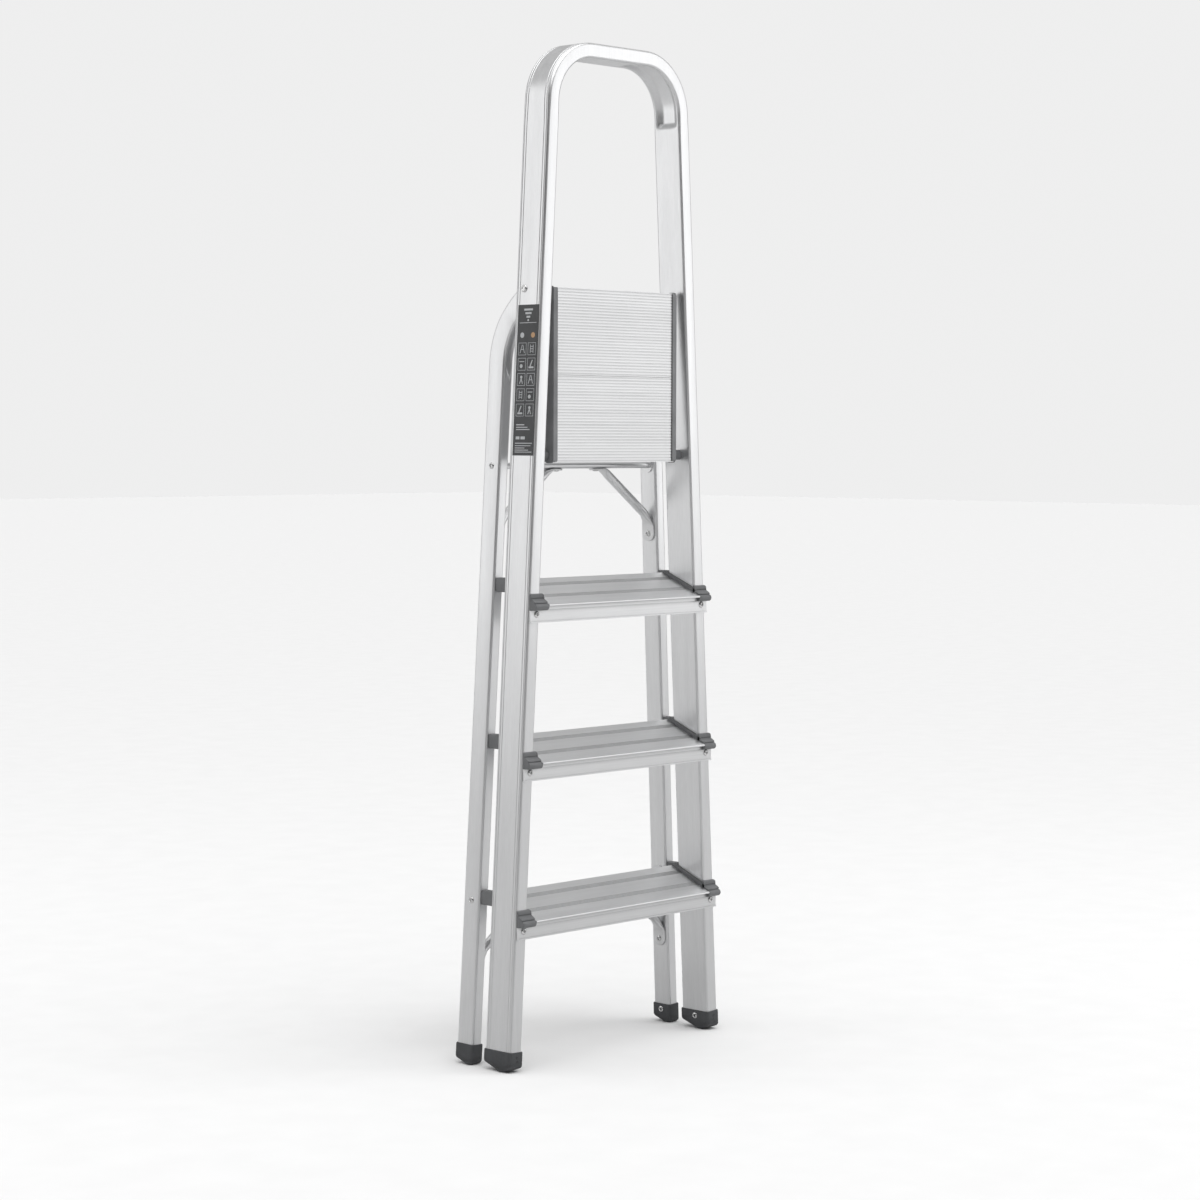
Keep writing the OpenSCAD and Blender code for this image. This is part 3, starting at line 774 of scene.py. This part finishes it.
def all_heads():
    crossbar, brace, front_feet, rear_feet, screws, hinges = [], [], [], [], [], []
    dimples = bmesh.new()
    for side in SIDES.values():
        rear, front = rear_matrix(side), leg_matrix(side)
        inward, outward = turn_y(-side * 90), turn_y(side * 90)
        for bar, z in BAR_HEIGHTS.items():
            along = z / math.cos(SPLAY)
            crossbar.append(rear @ shift(side * REAR_W / 2, 0, along) @ outward)
            along = brace_plate_z(bar) / math.cos(SPLAY)
            brace.append(rear @ shift(-side * (REAR_W / 2 + BRACE_PLATE), 0, along) @ inward)
            tab_x, tab_y = side * brace_tab_x(bar), STILE_FRONT + rear_mid_y(z)
            brace.append(shift(tab_x, tab_y, z - BAR_H / 2 - BRACE_PLATE) @ turn_x(180))
        face = -side * (STILE_W / 2 + FOOT_WALL)
        front_feet.append(front @ shift(face, FOOT_RIVET_Y, FOOT_RIVET_Z) @ inward)
        face = -side * (REAR_W / 2 + FOOT_WALL)
        rear_feet.append(rear @ shift(face, 0, FOOT_RIVET_Z) @ inward)
        for top in TREAD_TOPS:
            x = side * (outer_x(top) - SCREW_IN)
            screws.append(shift(x, STILE_FRONT - SCREW_OUT, top - SCREW_DOWN) @ turn_x(90))
        hinge = front @ shift(0, HINGE.y - STILE_FRONT, HINGE.z / math.cos(SPLAY))
        for way in (1, -1):
            hinges.append(hinge @ shift(way * side * STILE_W / 2, 0, 0) @ turn_y(way * side * 90))
        for z in DIMPLE_HEIGHTS:
            head(dimples, front @ shift(0, -FOOT_WALL, z) @ turn_x(90), *DIMPLE)
    slot = "foot_plastic"
    make_piece("front_foot_dimples", dimples, "front", MATERIALS[slot], HEAD_SMOOTH)
    heads("hinge_rivets", "front", "rivet_steel", hinges, *HINGE_RIVET)
    heads("crossbar_rivets", "rear", "rivet_steel", crossbar, *RIVET)
    heads("brace_rivets", "rear", "rivet_steel", brace, *RIVET)
    heads("front_foot_rivets", "front", "rivet_steel", front_feet, *RIVET)
    heads("rear_foot_rivets", "rear", "rivet_steel", rear_feet, *RIVET)
    heads("apron_screws", "front", "screw_steel", screws, *SCREW, cross=True)


# ---- Braces: round tubes pressed flat at both ends


def brace_section(width, thick):
    """A section between a circle and a flat strip with round edges, as (across, through)."""
    flat = max(width - thick, 0) / 2
    points = []
    steps = 12
    for way in (1, -1):
        for i in range(steps + 1):
            a = math.radians(-90 + 180 * i / steps) + (0 if way == 1 else math.pi)
            points.append((way * flat + thick / 2 * math.cos(a), thick / 2 * math.sin(a)))
    return points


def brace(name, side, bar):
    """A flat tab under the crossbar, a round slope, and a flat plate on the rear leg."""
    top = BAR_HEIGHTS[bar] - BAR_H / 2
    tab_x, knee_x, plate_z = brace_tab_x(bar), brace_knee_x(bar), brace_plate_z(bar)
    plate = BRACE_PLATE
    full = 2 * BRACE_R
    knee = Vector((knee_x, top - 7 * MM))
    foot_end = Vector((rear_inner_x(plate_z) - 9 * MM, plate_z + 27 * MM))
    # Sections along the brace: (X, Z, width, thickness)
    keys = []
    tab_w = 18 * MM
    for i in range(6):
        a = math.radians(90 * i / 5)
        x = tab_x - tab_w / 2 * math.cos(a)
        keys.append((x, top - plate / 2, max(tab_w * math.sin(a), plate), plate))
    keys.append((tab_x + 10 * MM, top - plate / 2, tab_w, plate))
    keys.append((tab_x + 14 * MM, top - plate / 2 - 0.6 * MM, tab_w * 0.94, plate * 1.5))
    keys.append((knee_x - 1.5 * MM, top - 5.5 * MM, full * 1.12, full * 0.72))
    slope = (foot_end - knee).normalized()
    start, finish = knee + slope * 5 * MM, foot_end - slope * 3 * MM
    for i in range(9):
        p = start.lerp(finish, i / 8)
        keys.append((p.x, p.y, full, full))

    def add_on_leg(above, off, width, thick):
        """A section above the plate's rivet, standing off the leg's face."""
        z = plate_z + above
        keys.append((rear_inner_x(z) - plate / 2 - off, z, width, thick))

    plate_w = 22 * MM
    add_on_leg(20 * MM, 3.4 * MM, full * 1.25, full * 0.6)
    add_on_leg(14.5 * MM, 0.7 * MM, plate_w * 0.9, plate * 1.5)
    add_on_leg(10.5 * MM, 0, plate_w, plate)
    for i in range(7):
        a = math.radians(90 * i / 6)
        add_on_leg(-plate_w / 2 * math.sin(a), 0, max(plate_w * math.cos(a), plate), plate)
    bm = bmesh.new()
    rings = []
    for i, (x, z, width, thick) in enumerate(keys):
        before, after = keys[max(i - 1, 0)], keys[min(i + 1, len(keys) - 1)]
        along = Vector((after[0] - before[0], 0, after[1] - before[1])).normalized()
        through = Vector((-along.z, 0, along.x))
        centre = Vector((x, STILE_FRONT + rear_mid_y(z), z))
        section = brace_section(width, thick)
        rings.append([centre + Vector((0, v, 0)) + through * u for v, u in section])
    sweep(bm, rings)
    bm.transform(Matrix.Diagonal((side, 1, 1, 1)))
    slot = "brace_aluminium"
    piece = make_piece(name + "_tube", bm, "rear", MATERIALS[slot], 50)
    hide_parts(name)


# ---- Print on the side label: plain boxes, bars and dots


def side_print():
    matrix = leg_matrix(-1)
    face = -STILE_W / 2 - LABEL_T
    sunk, lift = 0.02 * MM, 0.06 * MM
    low = LABEL_LOW / math.cos(SPLAY)
    bm, orange = bmesh.new(), bmesh.new()

    def patch(points, target=None):
        """Points as (across the label, up it), in millimetres from its lower rear corner."""
        target = target or bm
        rings = []
        for x in (face + sunk, face - lift):
            ring = []
            for across, high in points:
                ring.append(matrix @ Vector((x, LABEL_REAR - across * MM, low + high * MM)))
            rings.append(ring)
        sweep(target, rings)

    def bar(x0, y0, x1, y1):
        patch([(x0, y0), (x1, y0), (x1, y1), (x0, y1)])

    def stroke(x0, y0, x1, y1, width):
        away = Vector((y0 - y1, x1 - x0)).normalized() * width / 2
        start = [(x0 + away.x, y0 + away.y), (x0 - away.x, y0 - away.y)]
        patch(start + [(x1 - away.x, y1 - away.y), (x1 + away.x, y1 + away.y)])

    def frame_box(x0, y0, w, h, line=0.5):
        bar(x0, y0, x0 + w, y0 + line)
        bar(x0, y0 + h - line, x0 + w, y0 + h)
        bar(x0, y0 + line, x0 + line, y0 + h - line)
        bar(x0 + w - line, y0 + line, x0 + w, y0 + h - line)

    def dot(cx, cy, r, target=None):
        angles = [math.tau * i / 20 for i in range(20)]
        patch([(cx + r * math.cos(a), cy + r * math.sin(a)) for a in angles], target)

    def open_ladder(cx, cy):
        for way in (-1, 1):
            stroke(cx + way * 4, cy - 5.5, cx + way * 0.6, cy + 5.5, 0.9)
        bar(cx - 2.6, cy - 1, cx + 2.6, cy - 0.2)

    def straight_ladder(cx, cy):
        for way in (-1, 1):
            stroke(cx + way * 2.6, cy - 5.5, cx + way * 2.6, cy + 5.5, 0.9)
        for rung in (-3.6, -0.4, 2.8):
            bar(cx - 2.6, cy + rung, cx + 2.6, cy + rung + 0.8)

    def ball_under_bar(cx, cy):
        dot(cx - 1, cy - 2.5, 2.6)
        bar(cx - 4.5, cy + 3, cx + 4.5, cy + 4)

    def post_on_base(cx, cy):
        bar(cx - 4.5, cy - 5.5, cx + 4.5, cy - 3.2)
        stroke(cx - 2, cy - 3, cx + 2, cy + 5.5, 1.6)

    def ball_on_legs(cx, cy):
        dot(cx, cy + 3.2, 2)
        for way in (-1, 1):
            stroke(cx, cy + 1.5, cx + way * 2.6, cy - 5.5, 1.2)

    # A plain mark of three bars over a dot and a line, then two dots
    for i, half in enumerate((8.0, 5.6, 3.4)):
        bar(19.5 - half, 192.6 - i * 4.8, 19.5 + half, 195.2 - i * 4.8)
    dot(19.5, 179.8, 1.5)
    bar(4, 176, 35, 176.8)
    dot(9.5, 160, 3.6)
    dot(29.5, 160, 3.6, orange)

    # Ten framed boxes, each with one of five plain glyphs
    glyphs = (open_ladder, straight_ladder, ball_under_bar, post_on_base, ball_on_legs)
    box_w, box_h = 14.5, 16.5
    for row in range(5):
        for column in range(2):
            x0, y0 = 3.5 + column * 17.5, 133.4 - row * 20.3
            frame_box(x0, y0, box_w, box_h)
            glyph = glyphs[(row * 2 + column) % len(glyphs)]
            glyph(x0 + box_w / 2, y0 + box_h / 2)

    # Plain bars where small print would be, as (left, right, middle height, thickness)
    small_print = [(5, 20, 40.9, 1.4), (5, 26, 37.55, 1.1), (5, 30, 34.55, 1.1)]
    small_print += [(5, 12, 23.4, 3.8), (14, 22, 23.4, 3.8), (4, 35.5, 16.35, 1.1)]
    small_print += [(4, 33, 13.05, 0.9), (4, 22, 10.05, 0.9), (4, 29, 7.25, 0.9)]
    small_print += [(4, 35.5, 4.65, 0.9)]
    for left, right, middle, thick in small_print:
        bar(left, middle - thick / 2, right, middle + thick / 2)
    make_piece("side_label_print", bm, "front", PRINT)
    make_piece("side_label_dot", orange, "front", PRINT_ORANGE)


# ---- Floor, light and camera


# Name, place, (width, height) and power of each soft box
LIGHTS = (
    ("right_front", (2.1, -2.0, 1.6), (1.7, 2.4), 14.5),
    ("left_back", (-2.0, 2.1, 1.55), (1.5, 2.3), 9.4),
)
OVERHEAD = Vector((-0.15, -0.35, 0.92))
OVERHEAD_POWER, OVERHEAD_SPREAD = 2.2, math.radians(80)
FLOOR_REACH = 30
BACKDROP = (0.86, 0.86, 0.86, 1)
TOWARDS_VIEWER = (-0.728, -0.686, 0.0)


def studio():
    # The floor is dimmer where metal mirrors it, so the ladder's lower half isn't washed out
    nodes = Nodes("studio_floor")
    speckle = nodes.noise((1, 1, 1), 14, detail=3)
    ray = nodes.new("ShaderNodeLightPath")
    pale = nodes.ramp(speckle, grey(0.82), grey(0.84))
    dim = nodes.ramp(ray.outputs["Is Glossy Ray"], grey(1.0), grey(0.66), 0, 1)
    nodes.link(nodes.multiply(pale, dim), nodes.shader.inputs["Base Color"])
    nodes.shader.inputs["Roughness"].default_value = 0.9
    bm = bmesh.new()
    bmesh.ops.create_grid(bm, x_segments=8, y_segments=8, size=FLOOR_REACH)
    mesh = bpy.data.meshes.new("floor")
    bm.to_mesh(mesh)
    bm.free()
    mesh.materials.append(nodes.material)
    floor = bpy.data.objects.new("floor", mesh)
    bpy.context.scene.collection.objects.link(floor)
    world_light()

    middle = Vector((0, 0, TOTAL_HEIGHT / 2))
    for name, place, size, power in LIGHTS:
        data = bpy.data.lights.new(name, "AREA")
        data.shape = "RECTANGLE"
        data.size, data.size_y = size
        data.energy = power
        light = bpy.data.objects.new(name, data)
        light.visible_camera = False
        light.location = place
        light.rotation_euler = (middle - Vector(place)).to_track_quat("-Z", "Y").to_euler()
        bpy.context.scene.collection.objects.link(light)

    data = bpy.data.lights.new("overhead", "SUN")
    data.energy = OVERHEAD_POWER
    data.angle = OVERHEAD_SPREAD
    overhead = bpy.data.objects.new("overhead", data)
    overhead.rotation_euler = OVERHEAD.to_track_quat("Z", "Y").to_euler()
    bpy.context.scene.collection.objects.link(overhead)


def world_light():
    """A grey surround, brighter higher up and dim towards the viewer, behind a flat backdrop."""
    world = bpy.data.worlds.new("studio")
    bpy.context.scene.world = world
    world.use_nodes = True
    tree = world.node_tree
    place = tree.nodes.new("ShaderNodeTexCoord")
    split = tree.nodes.new("ShaderNodeSeparateXYZ")
    tree.links.new(place.outputs["Generated"], split.inputs["Vector"])
    height = tree.nodes.new("ShaderNodeValToRGB")
    height.color_ramp.interpolation = "EASE"
    stops = ((0.0, 0.38), (0.12, 0.42), (0.35, 0.46), (0.62, 0.58), (1.0, 0.55))
    for position, value in stops[1:-1]:
        height.color_ramp.elements.new(position)
    for element, (position, value) in zip(height.color_ramp.elements, stops):
        element.position = position
        element.color = (value, value, value, 1)
    tree.links.new(split.outputs["Z"], height.inputs["Fac"])

    dot = tree.nodes.new("ShaderNodeVectorMath")
    dot.operation = "DOT_PRODUCT"
    dot.inputs[1].default_value = TOWARDS_VIEWER
    tree.links.new(place.outputs["Generated"], dot.inputs[0])
    dim = tree.nodes.new("ShaderNodeMapRange")
    dim.interpolation_type = "SMOOTHSTEP"
    limits = {"From Min": 0.30, "From Max": 0.85, "To Min": 1.0, "To Max": 0.08}
    for socket, value in limits.items():
        dim.inputs[socket].default_value = value
    tree.links.new(dot.outputs["Value"], dim.inputs["Value"])
    tint = tree.nodes.new("ShaderNodeVectorMath")
    tint.operation = "SCALE"
    tree.links.new(height.outputs["Color"], tint.inputs[0])
    tree.links.new(dim.outputs["Result"], tint.inputs["Scale"])
    # The camera sees the flat backdrop, and the ladder is lit by the gradient
    seen = tree.nodes.new("ShaderNodeLightPath")
    plain = tree.nodes.new("ShaderNodeMix")
    plain.data_type = "RGBA"
    sockets = [socket for socket in plain.inputs if socket.type == "RGBA"]
    tree.links.new(seen.outputs["Is Camera Ray"], plain.inputs[0])
    tree.links.new(tint.outputs["Vector"], sockets[0])
    sockets[1].default_value = BACKDROP
    result = [socket for socket in plain.outputs if socket.type == "RGBA"][0]
    tree.links.new(result, tree.nodes["Background"].inputs["Color"])


def camera():
    """The photograph's view, from the left front and a little above the middle."""
    yaw, pitch, roll = math.radians(46.6914), math.radians(-2.2300), math.radians(0.183)
    data = bpy.data.cameras.new("camera")
    data.sensor_width = 36
    data.lens = 87.145
    data.shift_y = -0.04
    view = bpy.data.objects.new("camera", data)
    place = Vector((-2.8992, -2.7421, 0.8390))
    tilt = Matrix.Rotation(math.pi / 2 + pitch, 4, "X") @ Matrix.Rotation(roll, 4, "Z")
    turn = Matrix.Rotation(-yaw, 4, "Z") @ tilt
    view.matrix_world = Matrix.Translation(place) @ turn
    bpy.context.scene.collection.objects.link(view)
    bpy.context.scene.camera = view


front_frame()
for side_name, side_sign in SIDES.items():
    rear_leg("rear_leg_" + side_name, side_sign)
    for row_name, row_top in zip(TREAD_ROWS, TREAD_TOPS):
        tread_cap(row_name + "_cap_" + side_name, side_sign, row_top)
    for bar_name in BAR_HEIGHTS:
        brace(bar_name + "_brace_" + side_name, side_sign, bar_name)
    stile_centre = leg_matrix(side_sign) @ shift(0, STILE_D / 2, 0)
    front_apex, rear_apex = FRONT_APEX - STILE_D / 2, REAR_APEX - REAR_D / 2
    foot("front_foot_" + side_name, "front", stile_centre, STILE_W, STILE_D, front_apex)
    foot("rear_foot_" + side_name, "rear", rear_matrix(side_sign), REAR_W, REAR_D, rear_apex)
all_heads()
side_print()
studio()
camera()
bpy.context.scene.view_settings.view_transform = "Standard"
